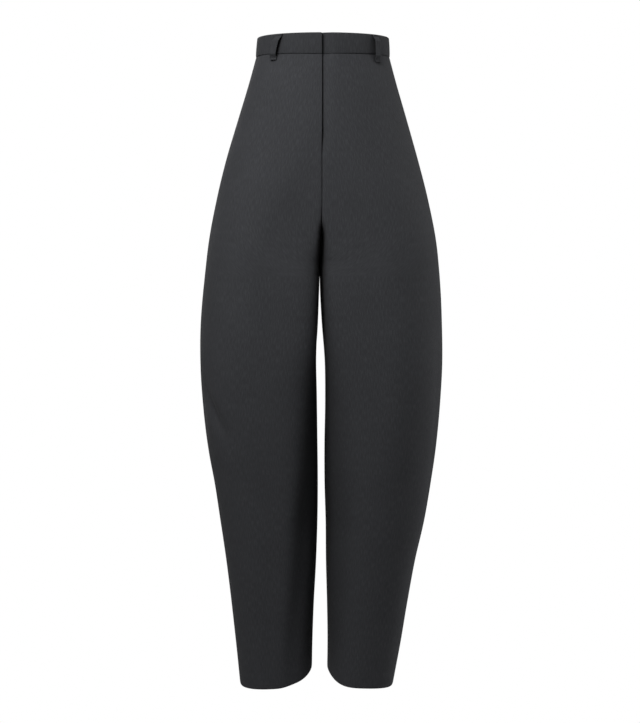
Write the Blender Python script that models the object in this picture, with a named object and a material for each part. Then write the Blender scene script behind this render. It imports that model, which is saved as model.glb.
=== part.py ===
"""Barrel leg trousers in dark wool: high waist, concealed fly, curved legs and open hems.

Metres, +Z up, and the front faces -Y. The wearer's right is at -X. The cloth stands filled out, as when it
is worn. The origin is the middle of the waist, halfway up the waistband.
"""

import math
from collections import namedtuple

import bmesh
import bpy
import numpy as np

# Cloth and seams
CLOTH = 0.0015
BAND_WALL = 0.0030
SEAM_GAP = 0.0003
HEM_WALL = 0.0026
HEM_TURN_UP = 0.040

# Waistband
BAND_HEIGHT = 0.031
BAND_PROUD = 0.0007
BAND_BULGE = 0.0004
BAND_UNDERLAP = 0.032
WAIST_SEAM = -BAND_HEIGHT / 2

# Fly: the wearer's right front laps over the left one
FLY_END = -0.146
FLY_UNDERLAP = 0.006
FLY_BLEND = 0.022
ZIP_TAPE = 0.001
ZIP_RIGHT, ZIP_LEFT = -0.016, 0.008
ZIP_DEPTH = 2 * (CLOTH + SEAM_GAP)

# Crotch: where the four leg panels meet, and where each centre seam starts to curve under
CROTCH = (-0.0042, 0.020, -0.375)
FRONT_CURVE_TOP, FRONT_CURVE_SQUARE = -0.240, 2.0
BACK_CURVE_TOP, BACK_CURVE_SQUARE = -0.225, 2.0

# Legs
HEM_OUT, HEM_IN = -1.091, -1.064
HEM_INSEAM_Y = 0.006
OUTER_SQUARE = 2.1
APEX_STARTS, APEX_ENDS = -0.090, -0.330

# How finely each panel is divided
COLUMNS = 12
HIP_ROWS, CURVE_ROWS, LEG_ROWS = 8, 9, 23
DENSE = 120

# Sides and faces of the body
RIGHT, LEFT = -1, 1

# Sections across the garment. An out column is the side seam's x, an in column the centre seam's or
# inseam's x, front and back are the furthest y of each face. corner is how deep its inner corners are, and
# square is how boxy they are.
Section = namedtuple("Section", "height out_right in_right in_left out_left front back corner square")
SECTIONS = [
    Section(*row)
    for row in (
        # height, out_right, in_right, in_left, out_left, front, back, corner, square
        (-0.0155, -0.1100, 0.0000, 0.0000, 0.1125, -0.0925, 0.0940, 0.070, 2.0),
        (-0.0535, -0.1206, 0.0000, 0.0000, 0.1228, -0.1000, 0.1060, 0.070, 2.0),
        (-0.1200, -0.1408, 0.0000, 0.0000, 0.1424, -0.1095, 0.1240, 0.070, 2.2),
        (-0.1865, -0.1614, 0.0000, 0.0000, 0.1616, -0.1155, 0.1325, 0.070, 2.6),
        (-0.2535, -0.1782, 0.0000, 0.0000, 0.1790, -0.1190, 0.1340, 0.070, 3.0),
        (-0.3210, -0.1914, -0.0020, -0.0020, 0.1928, -0.1220, 0.1310, 0.070, 3.2),
        (-0.3750, -0.1981, -0.0044, -0.0040, 0.1988, -0.1238, 0.1280, 0.074, 3.3),
        (-0.4570, -0.2058, -0.0075, -0.0008, 0.2040, -0.1245, 0.1240, 0.080, 3.2),
        (-0.5250, -0.2071, -0.0100, 0.0045, 0.2053, -0.1230, 0.1220, 0.088, 3.0),
        (-0.5940, -0.2045, -0.0088, 0.0054, 0.2022, -0.1190, 0.1190, 0.096, 2.8),
        (-0.6640, -0.1974, -0.0077, 0.0044, 0.1963, -0.1130, 0.1150, 0.104, 2.6),
        (-0.7335, -0.1848, -0.0070, 0.0044, 0.1873, -0.1055, 0.1100, 0.108, 2.5),
        (-0.8035, -0.1749, -0.0077, 0.0063, 0.1762, -0.0975, 0.1040, 0.108, 2.4),
        (-0.8740, -0.1655, -0.0103, 0.0068, 0.1608, -0.0890, 0.0970, 0.104, 2.4),
        (-0.9450, -0.1573, -0.0140, 0.0086, 0.1485, -0.0805, 0.0900, 0.098, 2.3),
        (-1.0165, -0.1499, -0.0165, 0.0096, 0.1370, -0.0730, 0.0835, 0.090, 2.2),
        (-1.0910, -0.1428, -0.0177, 0.0085, 0.1240, -0.0665, 0.0770, 0.085, 2.2),
    )
]

# The largest soft folds of the legs. across runs from 0 at the inner edge to 1 at the side seam, lean is
# how far across the fold moves over its length, and depth is negative for a hollow.
Fold = namedtuple("Fold", "side face across height length width depth lean")
FOLDS = [
    Fold(*row)
    for row in (
        # side, face, across, height, length, width, depth, lean
        (RIGHT, "front", 0.93, -0.610, 0.070, 0.10, -0.0035, -0.10),
        (RIGHT, "front", 0.42, -0.640, 0.360, 0.13, 0.0045, 0.06),
        (RIGHT, "back", 0.88, -0.560, 0.120, 0.12, -0.0040, -0.12),
        (LEFT, "front", 0.30, -0.760, 0.200, 0.11, -0.0035, 0.05),
        (LEFT, "back", 0.86, -0.600, 0.140, 0.12, -0.0040, -0.10),
        (RIGHT, "back", 0.30, -0.470, 0.150, 0.13, -0.0045, 0.15),
        (LEFT, "back", 0.32, -0.480, 0.160, 0.13, -0.0045, 0.15),
    )
]

# Belt loops. angle is round the waist from the centre front, lean is how far the foot lies from the top.
Loop = namedtuple("Loop", "name side angle lean foot")
LOOPS = [
    Loop(*row)
    for row in (
        # name, side, angle, lean, foot
        ("belt_loop_front_right", RIGHT, 43.0, 0.0075, -0.0260),
        ("belt_loop_front_left", LEFT, 54.0, 0.0035, -0.0290),
        ("belt_loop_back_right", RIGHT, 132.0, 0.0, -0.0270),
        ("belt_loop_back_left", LEFT, 132.0, 0.0, -0.0270),
        ("belt_loop_back_centre", LEFT, 180.0, 0.0, -0.0270),
    )
]
LOOP_WIDTH = 0.0105
LOOP_WALL = 0.0018
LOOP_TOP = 0.0150
LOOP_STAND_OFF = 0.0058
LOOP_TAB = 0.0045
LOOP_STEPS = 12

HEIGHTS = np.array([section.height for section in SECTIONS])[::-1]

WOOL = ("charcoal_wool", (0.048, 0.048, 0.052), 0.92)
BAND_WOOL = ("charcoal_wool_band", (0.044, 0.044, 0.048), 0.92)
ZIP_BLACK = ("zip_tape_black", (0.015, 0.015, 0.017), 0.75)


def clear_scene():
    for thing in list(bpy.data.objects):
        bpy.data.objects.remove(thing, do_unlink=True)


def material(name, colour, roughness):
    found = bpy.data.materials.get(name)
    if found:
        return found
    made = bpy.data.materials.new(name)
    made.use_nodes = True
    shader = made.node_tree.nodes["Principled BSDF"]
    shader.inputs["Base Color"].default_value = (*colour, 1.0)
    shader.inputs["Roughness"].default_value = roughness
    shader.inputs["Metallic"].default_value = 0.0
    return made


def eased(value, start, end):
    """0 before start and 1 after end, with a smooth rise between."""
    share = min(max((value - start) / (end - start), 0.0), 1.0)
    return share * share * (3 - 2 * share)


def column(name, height):
    """A smooth curve through one column of SECTIONS, read at a height."""
    values = np.array([getattr(section, name) for section in SECTIONS])[::-1]
    slopes = np.gradient(values, HEIGHTS)
    low = int(np.clip(np.searchsorted(HEIGHTS, height) - 1, 0, len(HEIGHTS) - 2))
    span = HEIGHTS[low + 1] - HEIGHTS[low]
    t = (height - HEIGHTS[low]) / span
    return float(
        (2 * t**3 - 3 * t**2 + 1) * values[low]
        + (t**3 - 2 * t**2 + t) * span * slopes[low]
        + (3 * t**2 - 2 * t**3) * values[low + 1]
        + (t**3 - t**2) * span * slopes[low + 1]
    )


def side_name(side):
    return "right" if side == RIGHT else "left"


def lengths_along(path):
    return np.concatenate([[0.0], np.cumsum(np.linalg.norm(np.diff(path, axis=0), axis=1))])


def distinct(path):
    """A path without the points that repeat the one before them."""
    moved_on = np.linalg.norm(np.diff(path, axis=0), axis=1) > 1e-7
    return path[np.concatenate([[True], moved_on])]


def even_points(path, count, trim=0.0):
    """count points spaced evenly along a path, which is shortened by trim at both ends."""
    along = lengths_along(path)
    at = np.linspace(trim, along[-1] - trim, count)
    return np.stack([np.interp(at, along, path[:, axis]) for axis in range(3)], axis=1)


def centre_curve(face, rows):
    """The centre seam of one face where it curves under, from its top down to the crotch point."""
    top = FRONT_CURVE_TOP if face == "front" else BACK_CURVE_TOP
    square = FRONT_CURVE_SQUARE if face == "front" else BACK_CURVE_SQUARE
    turn = np.linspace(0, math.pi / 2, DENSE)
    height = top + (CROTCH[2] - top) * np.sin(turn) ** (2 / square)
    depth = np.array([column(face, z) for z in height])
    across = np.array([column("in_right", z) for z in height])
    path = np.stack(
        [across, CROTCH[1] + (depth - CROTCH[1]) * np.cos(turn) ** (2 / square), height],
        axis=1,
    )
    return even_points(path, rows + 1)


def edge_points(side, face):
    """For every row of a panel, its height at the side seam and its point on the centre seam or inseam."""
    top = FRONT_CURVE_TOP if face == "front" else BACK_CURVE_TOP
    rows = []
    for height in np.linspace(WAIST_SEAM - SEAM_GAP, top, HIP_ROWS + 1)[:-1]:
        rows.append((height, (column("in_right", height), column(face, height), height)))
    for share, point in zip(np.linspace(0, 1, CURVE_ROWS + 1), centre_curve(face, CURVE_ROWS)):
        rows.append((top + (CROTCH[2] - top) * share, tuple(point)))
    for share in np.linspace(0, 1, LEG_ROWS + 1)[1:]:
        inner = CROTCH[2] + (HEM_IN - CROTCH[2]) * share
        seam_y = CROTCH[1] + (HEM_INSEAM_Y - CROTCH[1]) * share
        seam_x = column("in_" + side_name(side), inner)
        rows.append((CROTCH[2] + (HEM_OUT - CROTCH[2]) * share, (seam_x, seam_y, inner)))
    return rows


def face_curve(side, face, height, edge):
    """One face's outer line at a row, from its inner edge round to the side seam."""
    out_x = column("out_" + side_name(side), height)
    far_y = column(face, height)
    leg_middle = (column("in_" + side_name(side), height) + out_x) / 2
    apex_x = leg_middle * eased(height, APEX_STARTS, APEX_ENDS)
    square = column("square", height)
    turn = np.linspace(0, math.pi / 2, DENSE)
    fall, rise = np.cos(turn), np.sin(turn)
    deep = min(abs(far_y - edge[1]), column("corner", height))
    corner_y = far_y - math.copysign(deep, far_y)
    inner_x = apex_x + (edge[0] - apex_x) * fall ** (2 / square)
    inner_y = corner_y + (far_y - corner_y) * rise ** (2 / square)
    outer_x = apex_x + (out_x - apex_x) * rise ** (2 / OUTER_SQUARE)
    outer_y = far_y * fall ** (2 / OUTER_SQUARE)
    x = np.concatenate([[edge[0]], inner_x, outer_x[1:]])
    y = np.concatenate([[edge[1]], inner_y, outer_y[1:]])
    path = distinct(np.stack([x, y, np.full(len(x), float(height))], axis=1))
    if edge[2] > CROTCH[2]:
        along = lengths_along(path)
        nearness = 1 - along / along[-1]
    else:
        nearness = (out_x - path[:, 0]) / (out_x - edge[0])
    path[:, 2] += (edge[2] - height) * nearness
    return path


def tucked_under(path, height):
    """The left front's line at a row: in the fly it dips behind the right front and runs on under it."""
    reach = FLY_UNDERLAP * (1 - eased(height, FLY_END + 0.025, FLY_END))
    dip = (CLOTH + SEAM_GAP) * (1 - eased(height, FLY_END, FLY_END - 0.040))
    if dip == 0.0:
        return path
    moved = path.copy()
    moved[:, 1] += [dip * (1 - eased(x, 0.0, FLY_BLEND)) for x in path[:, 0]]
    if reach > SEAM_GAP:
        edge = (0.0, column("front", height), height)
        moved = carried_past(moved, face_curve(RIGHT, "front", height, edge), reach, dip)
    return moved


def carried_past(path, other, reach, dip):
    """The left side's path, run on past the centre behind the right side's line."""
    x = np.linspace(-reach, 0, 9)[:-1]
    y = np.interp(-x, -other[:, 0], other[:, 1]) + dip
    return np.vstack([np.stack([x, y, np.full(len(x), path[0, 2])], axis=1), path])


def fold_depth(side, face, across, height):
    """How far the folds move a point of a panel outwards."""
    total = 0.0
    for fold in FOLDS:
        if (fold.side, fold.face) != (side, face):
            continue
        up = (height - fold.height) / fold.length
        beside = (across - fold.across - fold.lean * up) / fold.width
        total += fold.depth * math.exp(-(up**2) - beside**2)
    return total


def panel_lines(side, face):
    """A leg panel's outer points, a row at a time from the waist to the hem, inner edge to side seam."""
    rows = []
    for row, (height, edge) in enumerate(edge_points(side, face)):
        path = face_curve(side, face, height, edge)
        if row <= HIP_ROWS + CURVE_ROWS:
            path[:, 0] = side * np.maximum(side * path[:, 0], side * edge[0] + SEAM_GAP / 2)
        if (side, face) == (LEFT, "front"):
            path = tucked_under(path, height)
        rows.append(even_points(path, COLUMNS + 1, trim=SEAM_GAP / 2))
    return np.array(rows)


def outward_normals(front, back, side):
    """Normals of both panels of a leg, shared along the seams so that their edges stay parallel."""
    closed = HIP_ROWS + CURVE_ROWS
    ring = np.concatenate([front, back[:, ::-1]], axis=1)
    last = front.shape[1] - 1
    along = np.empty_like(ring)
    along[:, 1:-1] = ring[:, 2:] - ring[:, :-2]
    along[:, last] = along[:, last + 1] = ring[:, last + 2] - ring[:, last - 1]
    along[:, 0] = ring[:, 1] - ring[:, 0]
    along[:, -1] = ring[:, -1] - ring[:, -2]
    wrapped = ring[closed:, 1] - ring[closed:, -2]
    along[closed:, 0] = along[closed:, -1] = wrapped
    down = np.gradient(ring, axis=0)
    normal = np.cross(down, along) * side
    normal /= np.linalg.norm(normal, axis=2, keepdims=True)
    return normal[:, : last + 1], normal[:, last + 1 :][:, ::-1]


def wall_thickness(outer):
    """The wall at each point of a panel: the hem is turned up, so it is thicker there."""
    above_hem = outer[..., 2] - outer[-1, :, 2]
    turned = np.vectorize(lambda up: 1 - eased(up, HEM_TURN_UP * 0.8, HEM_TURN_UP))(above_hem)
    return CLOTH + (HEM_WALL - CLOTH) * turned


def panel_walls(side):
    """Outer and inner points of the front and the back panel of one leg."""
    faces = {face: panel_lines(side, face) for face in ("front", "back")}
    normals = dict(zip(("front", "back"), outward_normals(faces["front"], faces["back"], side)))
    walls = {}
    for face, outer in faces.items():
        share = np.linspace(0, 1, outer.shape[1])
        moved = outer.copy()
        for row in range(len(outer)):
            for place in range(1, outer.shape[1] - 1):
                out = fold_depth(side, face, share[place], outer[row, place, 2])
                moved[row, place] += normals[face][row, place] * out
        inner = moved - normals[face] * wall_thickness(moved)[..., None]
        walls[face] = (moved, kept_on_side(moved, inner, side))
    return walls


def kept_on_side(outer, inner, side):
    """Inner points may not cross the centre plane further than the outer ones of their seam do."""
    limit = outer[:, 0, 0] * side
    inner[..., 0] = np.maximum(inner[..., 0] * side, limit[:, None]) * side
    return inner


def waist_line(side, shift, lap=0.0, dip=0.0):
    """The band's line at the waist for one side, from the centre front round to the centre back.

    shift moves it outwards. lap lengthens its front end past the centre, dip inwards by that much.
    """
    front = face_curve(side, "front", WAIST_SEAM, (0.0, column("front", WAIST_SEAM), WAIST_SEAM))
    back = face_curve(side, "back", WAIST_SEAM, (0.0, column("back", WAIST_SEAM), WAIST_SEAM))
    line = np.vstack([front, back[::-1][1:]])
    step = np.gradient(line, axis=0)
    normal = np.stack([step[:, 1], -step[:, 0], np.zeros(len(line))], axis=1) * side
    moved = line + shift * normal / np.linalg.norm(normal, axis=1, keepdims=True)
    moved[0, 0] = moved[-1, 0] = 0.0
    if lap:
        moved[:, 1] += [
            dip * (1 - eased(p[0], 0.0, FLY_BLEND)) if p[1] < 0 else 0.0 for p in moved
        ]
        moved = carried_past(moved, waist_line(RIGHT, shift)[:DENSE], lap, dip)
    return moved


def band_wall(side):
    """Outer and inner points of one half of the waistband."""
    lap = BAND_UNDERLAP if side == LEFT else 0.0
    dip = BAND_WALL + SEAM_GAP + BAND_BULGE
    layers = []
    for share in (0.0, 0.34, 0.67, 1.0):
        height = WAIST_SEAM + BAND_HEIGHT * share
        proud = BAND_PROUD + BAND_BULGE * (1 - (2 * share - 1) ** 2)
        outer = even_points(waist_line(side, proud, lap, dip), 2 * COLUMNS + 1, SEAM_GAP / 2)
        inner = even_points(
            waist_line(side, BAND_PROUD - BAND_WALL, lap, dip), 2 * COLUMNS + 1, SEAM_GAP / 2
        )
        outer[:, 2] = inner[:, 2] = height
        layers.append((outer, inner))
    return np.array([a for a, _ in layers]), np.array([b for _, b in layers])


def loop_wall(loop):
    """Outer and inner points of a belt loop: tacked at its top and foot, standing off between them."""
    line = waist_line(loop.side, BAND_PROUD + BAND_BULGE)
    bearing = np.degrees(np.arctan2(np.abs(line[:, 0]), -line[:, 1]))
    place = min(int(np.searchsorted(bearing, loop.angle)), len(line) - 2)
    spot = line[place] if loop.angle < 180 else line[-1]
    across = (line[place + 1] - line[place - 1]) * loop.side
    if loop.angle == 180:
        across = np.array([-1.0, 0.0, 0.0])
    across /= np.linalg.norm(across)
    outward = np.array([across[1], -across[0], 0.0])
    face = "front" if loop.angle < 90 else "back"
    outer, inner = [], []
    for share in np.linspace(0, 1, LOOP_STEPS + 1):
        height = LOOP_TOP + (loop.foot - LOOP_TOP) * share
        from_end = min(LOOP_TOP - height, height - loop.foot)
        lift = LOOP_STAND_OFF * eased(from_end, LOOP_TAB * 0.6, LOOP_TAB * 2.4)
        base = cloth_reach(loop.side, face, spot, outward, height) + SEAM_GAP
        middle = spot + outward * (base + lift) + across * loop.side * loop.lean * share
        middle[2] = height
        inner.append([middle + across * LOOP_WIDTH * half for half in (-0.5, 0.5)])
        outer.append([point + outward * LOOP_WALL for point in inner[-1]])
    return np.array(outer), np.array(inner)


def cloth_reach(side, face, spot, outward, height):
    """How far the trouser cloth at a height stands out past spot, along outward."""
    if height >= WAIST_SEAM:
        return 0.0
    line = face_curve(side, face, height, (0.0, column(face, height), height))
    beside = (line - spot) * (1, 1, 0)
    across = np.array([-outward[1], outward[0], 0.0])
    near = np.abs(beside @ across) < LOOP_WIDTH
    return max(0.0, float((beside @ outward)[near].max()))


def zip_wall():
    """Outer and inner points of the closed zip's tape, behind the fly."""
    heights = np.linspace(WAIST_SEAM - 2 * SEAM_GAP, FLY_END, HIP_ROWS)
    places = np.linspace(ZIP_RIGHT, ZIP_LEFT, 5)
    outer = np.array([
        [(x, column("front", z) + ZIP_DEPTH + front_round(x, z), z) for x in places] for z in heights
    ])
    return outer, outer + (0, ZIP_TAPE, 0)


def front_round(x, z):
    """How far the rounded front falls back from its centre at x."""
    half = column("out_left", z)
    return -column("front", z) * (1 - (1 - abs(x / half) ** OUTER_SQUARE) ** (1 / OUTER_SQUARE))


def build_wall(name, outer, inner, finish):
    """A closed solid between two grids of points, as one named object."""
    rows, places = outer.shape[:2]
    bm = bmesh.new()
    skins = [
        [[bm.verts.new(grid[row, place]) for place in range(places)] for row in range(rows)]
        for grid in (outer, inner)
    ]
    out, back = skins
    for row in range(rows - 1):
        for place in range(places - 1):
            here = (row, place), (row, place + 1), (row + 1, place + 1), (row + 1, place)
            bm.faces.new([out[r][p] for r, p in here])
            bm.faces.new([back[r][p] for r, p in reversed(here)])
    rim = [(0, place) for place in range(places)]
    rim += [(row, places - 1) for row in range(1, rows)]
    rim += [(rows - 1, place) for place in range(places - 2, -1, -1)]
    rim += [(row, 0) for row in range(rows - 2, 0, -1)]
    for (r, p), (next_r, next_p) in zip(rim, rim[1:] + rim[:1]):
        bm.faces.new([out[r][p], back[r][p], back[next_r][next_p], out[next_r][next_p]])
    bmesh.ops.triangulate(bm, faces=bm.faces[:], quad_method="SHORT_EDGE")
    if bm.calc_volume(signed=True) < 0:
        bmesh.ops.reverse_faces(bm, faces=bm.faces[:])
    mesh = bpy.data.meshes.new(name)
    bm.to_mesh(mesh)
    bm.free()
    mesh.shade_smooth()
    mesh.set_sharp_from_angle(angle=math.radians(50))
    made = bpy.data.objects.new(name, mesh)
    made.data.materials.append(material(*finish))
    bpy.context.scene.collection.objects.link(made)
    return made


def build_trousers():
    for side in (RIGHT, LEFT):
        for face, (outer, inner) in panel_walls(side).items():
            build_wall(f"{face}_{side_name(side)}", outer, inner, WOOL)
        build_wall(f"waistband_{side_name(side)}", *band_wall(side), BAND_WOOL)
    for loop in LOOPS:
        build_wall(loop.name, *loop_wall(loop), BAND_WOOL)
    build_wall("fly_zip", *zip_wall(), ZIP_BLACK)


clear_scene()
build_trousers()
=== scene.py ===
"""Barrel leg trousers in charcoal wool: the cloth, its seams and fastening, and a plain studio.

Metres, +Z up, and the front faces -Y. The wearer's right is at -X.
"""

import math
from collections import namedtuple

import bpy
import numpy as np
from bpy.props import FloatProperty, FloatVectorProperty, PointerProperty
from mathutils import Matrix, Vector, noise


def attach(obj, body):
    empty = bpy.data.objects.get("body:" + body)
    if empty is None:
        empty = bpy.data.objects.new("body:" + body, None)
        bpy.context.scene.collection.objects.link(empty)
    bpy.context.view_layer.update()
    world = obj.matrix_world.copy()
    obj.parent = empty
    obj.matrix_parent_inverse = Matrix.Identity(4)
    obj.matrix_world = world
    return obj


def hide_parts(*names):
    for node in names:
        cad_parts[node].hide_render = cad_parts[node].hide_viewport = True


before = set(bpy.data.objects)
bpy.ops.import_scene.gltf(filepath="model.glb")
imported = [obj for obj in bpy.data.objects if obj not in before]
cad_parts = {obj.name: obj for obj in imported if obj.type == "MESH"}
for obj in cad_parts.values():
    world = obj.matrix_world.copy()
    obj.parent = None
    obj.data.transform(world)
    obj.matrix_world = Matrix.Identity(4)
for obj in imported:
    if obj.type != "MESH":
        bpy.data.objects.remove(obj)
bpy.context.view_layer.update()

bl_info = {
    "name": "Barrel leg trousers",
    "version": (1, 0, 0),
    "blender": (4, 5, 0),
    "location": "3D View > Sidebar > Trousers",
    "description": "Builds wool trousers with a concealed fly round a packed frame",
    "category": "Add Mesh",
}

# Sides and faces of the body
RIGHT, LEFT = -1, 1
FACES = ("front", "back")

# Waistband and seams of the frame
BAND_HEIGHT = 0.031
BAND_PROUD = 0.0007
BAND_BULGE = 0.0004
BAND_WALL = 0.0030
BAND_UNDERLAP = 0.032
WAIST_SEAM = -BAND_HEIGHT / 2
CAD_CLOTH = 0.0015
SEAM_GAP = 0.0003
FLY_END = -0.146
FLY_UNDERLAP, UNDERLAP_FADES = 0.006, 0.025
FLY_BLEND, LAP_FADES = 0.022, 0.040
ZIP_RIGHT, ZIP_LEFT = -0.016, 0.008
ZIP_DEPTH = 0.0066
ZIP_TOP = -0.0176
ZIP_TAPE = 0.001

# Crotch and legs of the frame
CROTCH_Y, CROTCH_HEIGHT = 0.020, -0.375
CURVE_TOPS = {"front": -0.240, "back": -0.225}
HEM_OUT, HEM_IN = -1.091, -1.064
HEM_INSEAM_Y = 0.006
OUTER_SQUARE = 2.1
APEX_STARTS, APEX_ENDS = -0.090, -0.330

# Hem lines: how steeply each rises to the inseam, how much it bows up on its way, and where that begins
HEM_STEEPNESS = {"front": {RIGHT: 4.0, LEFT: 6.0}, "back": {RIGHT: 1.6, LEFT: 2.6}}
HEM_LIFTS = {"front": {RIGHT: 0.0075, LEFT: 0.0095}, "back": {RIGHT: 0.0, LEFT: 0.0}}
HEM_LINE_BEGINS = -0.80

# The right front's inner corner, which is sharper from the hip to above the knee
SHARP_CORNER = 7.2
CORNER_SHARPENS, CORNER_SOFTENS = (-0.250, -0.300), (-0.400, -0.580)

# Sections across the garment. An out column is the side seam's x, an in column the centre seam's or
# inseam's x, front and back are the furthest y of each face. corner is how deep its inner corners are, and
# square is how boxy they are.
Section = namedtuple("Section", "height out_right in_right in_left out_left front back corner square")
SECTIONS = [
    Section(*row)
    for row in (
        # height, out_right, in_right, in_left, out_left, front, back, corner, square
        (-0.0155, -0.1100, 0.0000, 0.0000, 0.1125, -0.0925, 0.0940, 0.070, 2.0),
        (-0.0535, -0.1206, 0.0000, 0.0000, 0.1228, -0.1000, 0.1060, 0.070, 2.0),
        (-0.1200, -0.1408, 0.0000, 0.0000, 0.1424, -0.1095, 0.1240, 0.070, 2.2),
        (-0.1865, -0.1614, 0.0000, 0.0000, 0.1616, -0.1155, 0.1325, 0.070, 2.6),
        (-0.2535, -0.1782, 0.0000, 0.0000, 0.1790, -0.1190, 0.1340, 0.070, 3.3),
        (-0.3210, -0.1914, -0.0020, -0.0020, 0.1928, -0.1220, 0.1310, 0.070, 4.2),
        (-0.3750, -0.1981, -0.0044, -0.0040, 0.1988, -0.1238, 0.1280, 0.074, 4.8),
        (-0.4570, -0.2058, -0.0075, -0.0008, 0.2040, -0.1245, 0.1240, 0.080, 4.6),
        (-0.5250, -0.2071, -0.0100, 0.0045, 0.2053, -0.1230, 0.1220, 0.088, 4.0),
        (-0.5940, -0.2045, -0.0088, 0.0054, 0.2022, -0.1190, 0.1190, 0.096, 3.4),
        (-0.6640, -0.1974, -0.0077, 0.0044, 0.1963, -0.1130, 0.1150, 0.104, 3.0),
        (-0.7335, -0.1848, -0.0070, 0.0044, 0.1873, -0.1055, 0.1100, 0.108, 2.7),
        (-0.8035, -0.1749, -0.0077, 0.0063, 0.1762, -0.0975, 0.1040, 0.108, 2.4),
        (-0.8740, -0.1655, -0.0103, 0.0068, 0.1608, -0.0890, 0.0970, 0.104, 2.4),
        (-0.9450, -0.1573, -0.0140, 0.0086, 0.1485, -0.0805, 0.0900, 0.098, 2.3),
        (-1.0165, -0.1499, -0.0165, 0.0096, 0.1370, -0.0730, 0.0835, 0.090, 2.2),
        (-1.0910, -0.1428, -0.0177, 0.0085, 0.1240, -0.0665, 0.0770, 0.085, 2.2),
    )
]
HEIGHTS = np.array([section.height for section in SECTIONS])[::-1]

# Soft folds. across runs from 0 at the inner edge to 1 at the side seam, lean is how far across the fold
# moves over its length, and depth is negative for a hollow.
Fold = namedtuple("Fold", "side face across height length width depth lean")
FOLDS = [
    Fold(*row)
    for row in (
        # side, face, across, height, length, width, depth, lean
        (RIGHT, "front", 0.93, -0.610, 0.070, 0.10, -0.0035, -0.10),
        (RIGHT, "front", 0.785, -0.603, 0.036, 0.045, -0.0080, 0.065),
        (RIGHT, "front", 0.39, -0.780, 0.320, 0.06, 0.0026, -0.09),
        (RIGHT, "front", 0.285, -0.780, 0.320, 0.08, -0.0055, -0.09),
        (RIGHT, "front", 0.42, -0.640, 0.360, 0.13, 0.0045, 0.06),
        (RIGHT, "back", 0.88, -0.560, 0.120, 0.12, -0.0040, -0.12),
        (LEFT, "front", 0.31, -0.720, 0.220, 0.11, -0.0075, 0.05),
        (LEFT, "back", 0.86, -0.600, 0.140, 0.12, -0.0040, -0.10),
        (RIGHT, "back", 0.30, -0.470, 0.150, 0.13, -0.0045, 0.15),
        (LEFT, "back", 0.32, -0.480, 0.160, 0.13, -0.0045, 0.15),
        (RIGHT, "front", 0.80, -0.700, 0.055, 0.05, -0.0010, 0.12),
        (RIGHT, "front", 0.70, -0.560, 0.110, 0.09, 0.0012, -0.06),
        (LEFT, "front", 0.62, -0.600, 0.180, 0.12, 0.0055, 0.03),
        (LEFT, "front", 0.86, -0.640, 0.210, 0.04, -0.0013, -0.05),
        (LEFT, "front", 0.20, -0.420, 0.075, 0.06, -0.0011, 0.10),
        (RIGHT, "back", 0.55, -0.700, 0.180, 0.10, 0.0016, 0.06),
        (LEFT, "back", 0.58, -0.680, 0.200, 0.10, 0.0015, -0.05),
        (RIGHT, "back", 0.62, -0.330, 0.050, 0.20, -0.0012, 0.25),
        (LEFT, "back", 0.60, -0.345, 0.050, 0.20, -0.0013, -0.25),
    )
]

# Back darts, taken in from the waist down in the middle of each back, and the soft point where one ends
DART_LENGTH, DART_DEPTH, DART_WIDTH, DART_FADES = 0.105, 0.0009, 0.0016, 0.8
DART_POINT, DART_POINT_WIDTH, DART_POINT_LENGTH = 0.0006, 0.012, 0.02

# Belt loops. angle is in degrees from the centre front, lean is how far across its top the foot lies, bow is
# how much of the lean comes early, and sway is how far a loop snakes.
Loop = namedtuple("Loop", "name side angle lean foot bow sway")
LOOPS = [
    Loop(*row)
    for row in (
        # name, side, angle, lean, foot, bow, sway
        ("belt_loop_front_right", RIGHT, 43.0, 0.0098, -0.0260, 1.0, 0.0),
        ("belt_loop_front_left", LEFT, 54.0, 0.0035, -0.0290, 0.0, 0.0008),
        ("belt_loop_back_right", RIGHT, 132.0, 0.0, -0.0270, 0.0, 0.0),
        ("belt_loop_back_left", LEFT, 132.0, 0.0, -0.0270, 0.0, 0.0),
        ("belt_loop_back_centre", LEFT, 180.0, 0.0, -0.0270, 0.0, 0.0),
    )
]
LOOP_WIDTH = 0.0125
LOOP_WALL = 0.0018
LOOP_TOP = 0.0150
LOOP_STAND_OFF, LOOP_RISES = 0.0042, (0.0027, 0.0108)

# How the cloth is finished at its edges, from the folded edge inwards
CLOTH = 0.0008
EDGE_STOPS = (0.0, 0.0006, 0.0013, 0.0022, 0.0034, 0.0052, 0.0080, 0.0120)
HEM_STOPS = (0.0, 0.0006, 0.0013, 0.0024, 0.0045, 0.0090, 0.0160, 0.0240, 0.0320, 0.0385)
ALLOWANCE_DEPTH, TURN_WIDTH = 0.00175, 0.0016
SEAM_ROLL, SEAM_ROLL_WIDTH = 0.0008, 0.0016
LAP_ROLL, LAP_ROLL_FADES = 0.0003, 0.010
CENTRE_ROLL, CENTRE_ROLL_FADES = 0.0014, 0.060
HEM_ROLL, HEM_ROLL_WIDTH = 0.0009, 0.0014
GROOVE_DEPTH, GROOVE_WIDTH, GROOVE_UNDER_BAND = 0.0030, 0.0026, 0.012

# Rows and columns of points. The first rows lie close together, as far under the band as UNDER_BAND says.
UNDER_BAND = (0.0, 0.0007, 0.0016, 0.0030)
SEAM_UPPER_ROWS, CURVE_ROWS, LEG_ROWS = 44, 46, 140
CROTCH_ROW = len(UNDER_BAND) + SEAM_UPPER_ROWS + CURVE_ROWS - 1
MIDDLE_COLUMNS, UNDERLAP_COLUMNS = 58, 9
DENSE, SAME_POINT = 160, 1e-7

# Waves of soft cloth: how deep, and how fast they change across and along. They fade out beside the seams.
LONG_WAVE, LONG_ACROSS, LONG_ALONG = 0.0009, 9, 5
SHORT_WAVE, SHORT_ACROSS, SHORT_ALONG = 0.00035, 26, 12
WAVE_SEED, WAVES_FADE = 3.7, 0.02

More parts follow.
